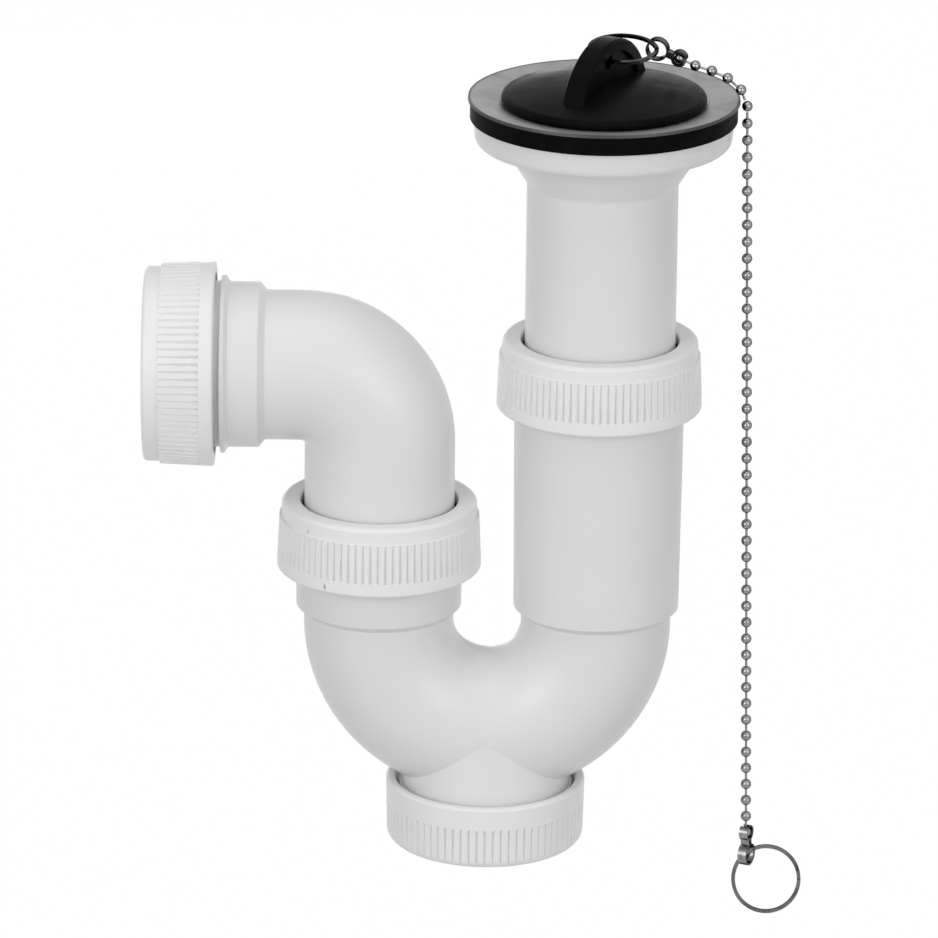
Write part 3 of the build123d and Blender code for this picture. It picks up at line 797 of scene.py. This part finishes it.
class TRAP_OT_chain(Operator):
    """Thread the beads on their wire links and hang the split rings"""

    bl_idname = "trap.chain"
    bl_label = "Ball Chain"

    def execute(self, context):
        finish = context.scene.trap_finish
        plate = nickel_plate("Nickel Plate", finish.nickel, smudge=420.0, dull=0.6)
        # Painted shade: the rings' darker copy of the nickel stands for the dark reflections in their flat
        # faces
        dark = nickel_plate("Shaded Ring Nickel", finish.ring, smudge=170.0, dull=0.3)
        finish_nodes(("upper_clip", "lower_clip"), plate)
        hung, draped = hanging_points(), draped_points()
        pieces = (
            (turn_bead(), bead_places(hung), "hanging_chain", "hanging_beads", plate),
            (draw_link(1), link_places(hung), "hanging_chain", "hanging_links", plate),
            (turn_bead(), bead_places(draped), "waste", "draped_beads", plate),
            (draw_link(1), link_places(draped), "waste", "draped_links", plate),
            (turn_bead(), [upright(hung[0], hung[0] - hung[1])], "chain_knuckle", "rim_bead", plate),
            (wind_ring(), [flat_place("plug_ring")], "waste", "plug_ring", dark),
            (wind_ring(), [flat_place("lower_ring")], "end_ring", "lower_ring", dark),
        )
        for pattern, places, body, node, nickel in pieces:
            dress(repeat(pattern, places, f"nickel_{node}"), body, node, nickel)
        return {"FINISHED"}


class TRAP_OT_stage(Operator):
    """Set the floor, the lamps, the world and the camera"""

    bl_idname = "trap.stage"
    bl_label = "Stage"

    def execute(self, context):
        size = context.scene.trap_stage
        lay_floor(size)
        light_stage(size)
        set_camera(size)
        context.scene.view_settings.view_transform = "Standard"
        return {"FINISHED"}


def seen_rays(tree):
    """Mask of the rays that show the background: seen, mirrored or looked through."""
    path = tree.nodes.new("ShaderNodeLightPath")
    some = new_node(tree, "ShaderNodeMath", operation="MAXIMUM")
    every = new_node(tree, "ShaderNodeMath", operation="MAXIMUM")
    wire(tree, path.outputs["Is Camera Ray"], some.inputs[0])
    wire(tree, path.outputs["Is Glossy Ray"], some.inputs[1])
    wire(tree, some.outputs["Value"], every.inputs[0])
    wire(tree, path.outputs["Is Transmission Ray"], every.inputs[1])
    return every.outputs["Value"]


def lay_floor(size):
    """Pale floor that runs up into a backdrop in one curve."""
    deselect()
    bpy.ops.mesh.primitive_plane_add(size=FLOOR_SIDE, location=(size.aim[0], FLOOR_BACK, -size.drop))
    floor = bpy.context.object
    floor.name = "floor"
    bpy.ops.object.transform_apply(location=True, rotation=True, scale=True)
    bpy.ops.object.mode_set(mode="EDIT")
    far = FLOOR_SIDE / 2
    pick_vertices(floor, lambda co: co.y > far)
    bpy.ops.mesh.extrude_edges_move(TRANSFORM_OT_translate={"value": (0, 0, BACKDROP_HEIGHT)})
    pick_vertices(floor, lambda co: co.y > far and co.z < 0)
    bpy.ops.mesh.bevel(offset=BACKDROP_BEND, segments=BEND_STEPS, affect="EDGES")
    bpy.ops.object.mode_set(mode="OBJECT")
    bpy.ops.object.shade_smooth()
    material, tree, shader = new_material("Pale Floor", Base_Color=(0.6, 0.6, 0.6, 1), Roughness=0.8)
    white = new_node(tree, "ShaderNodeEmission", Color=(1, 1, 1, 1), Strength=1.0)
    keep = new_node(tree, "ShaderNodeMath", operation="MULTIPLY")
    keep.inputs[1].default_value = FLOOR_WHITE
    mix = tree.nodes.new("ShaderNodeMixShader")
    wire(tree, seen_rays(tree), keep.inputs[0])
    wire(tree, keep.outputs["Value"], mix.inputs["Fac"])
    wire(tree, shader.outputs["BSDF"], mix.inputs[1])
    wire(tree, white.outputs["Emission"], mix.inputs[2])
    wire(tree, mix.outputs["Shader"], tree.nodes["Material Output"].inputs["Surface"])
    floor.data.materials.append(material)


def light_stage(size):
    """Two soft front lamps, one behind, one on top and an even world."""
    aim = Vector(size.aim)
    # Name, place from the aim, width and power of each lamp
    lamps = (
        ("left_lamp", Vector((-1.1, -1.5, 0.55)), 1.1, size.left),
        ("right_lamp", Vector((1.1, -1.5, 0.55)), 1.1, size.right),
        ("back_lamp", Vector((-0.3, 1.8, -0.3)), 0.7, size.back),
        ("top_lamp", Vector((0.0, -0.3, 1.6)), 1.4, size.top),
    )
    for name, offset, width, power in lamps:
        bpy.ops.object.light_add(type="AREA", location=aim + offset)
        lamp = bpy.context.object
        lamp.name = name
        lamp.rotation_euler = (-offset).to_track_quat("-Z", "Y").to_euler()
        lamp.data.shape = "SQUARE"
        lamp.data.size = width
        lamp.data.energy = power
    world = bpy.context.scene.world or bpy.data.worlds.new("World")
    bpy.context.scene.world = world
    world.use_nodes = True
    tree = world.node_tree
    tree.nodes.clear()
    end = tree.nodes.new("ShaderNodeOutputWorld")
    soft = new_node(tree, "ShaderNodeBackground", Color=(1, 1, 1, 1), Strength=size.ambient)
    white = new_node(tree, "ShaderNodeBackground", Color=(1, 1, 1, 1), Strength=1.0)
    mix = tree.nodes.new("ShaderNodeMixShader")
    wire(tree, seen_rays(tree), mix.inputs["Fac"])
    wire(tree, soft.outputs["Background"], mix.inputs[1])
    wire(tree, white.outputs["Background"], mix.inputs[2])
    wire(tree, mix.outputs["Shader"], end.inputs["Surface"])


def set_camera(size):
    """Long lens at the photograph's angle, a little rolled."""
    back = Vector((0, -math.cos(size.pitch), math.sin(size.pitch)))
    turned = Matrix.Rotation(math.pi / 2 - size.pitch, 3, "X") @ Matrix.Rotation(size.roll, 3, "Z")
    bpy.ops.object.camera_add(location=Vector(size.aim) + back * size.reach, rotation=turned.to_euler())
    camera = bpy.context.object
    camera.data.lens = size.lens
    camera.data.sensor_width = 36
    camera.data.clip_end = 50
    bpy.context.scene.camera = camera


class TRAP_PT_panel(Panel):
    """Lists the steps that dress the trap"""

    bl_idname = "TRAP_PT_panel"
    bl_label = "Sink Trap"
    bl_space_type = "VIEW_3D"
    bl_region_type = "UI"
    bl_category = "Sink Trap"

    def draw(self, context):
        for settings in (context.scene.trap_finish, context.scene.trap_thread, context.scene.trap_chain,
                         context.scene.trap_stage):
            box = self.layout.box()
            for name in settings.bl_rna.properties.keys():
                if name not in ("rna_type", "name"):
                    box.prop(settings, name)
        for step in STEPS:
            self.layout.operator(step.bl_idname)


STEPS = (TRAP_OT_mouldings, TRAP_OT_seals, TRAP_OT_waste, TRAP_OT_threads, TRAP_OT_chain, TRAP_OT_stage)
GROUPS = {"trap_finish": TRAP_PG_finish, "trap_thread": TRAP_PG_thread, "trap_chain": TRAP_PG_chain,
          "trap_stage": TRAP_PG_stage}


def register():
    """Register the settings, the steps and the panel."""
    for group in GROUPS.values():
        bpy.utils.register_class(group)
    for step in STEPS:
        bpy.utils.register_class(step)
    bpy.utils.register_class(TRAP_PT_panel)
    for name, group in GROUPS.items():
        setattr(bpy.types.Scene, name, PointerProperty(type=group))


def unregister():
    """Take the panel, the steps and the settings away again."""
    for name in GROUPS:
        delattr(bpy.types.Scene, name)
    bpy.utils.unregister_class(TRAP_PT_panel)
    for step in reversed(STEPS):
        bpy.utils.unregister_class(step)
    for group in reversed(GROUPS.values()):
        bpy.utils.unregister_class(group)


def main():
    """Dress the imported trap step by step."""
    register()
    bpy.ops.trap.mouldings()
    bpy.ops.trap.seals()
    bpy.ops.trap.waste()
    bpy.ops.trap.threads()
    bpy.ops.trap.chain()
    bpy.ops.trap.stage()


if __name__ == "__main__":
    main()
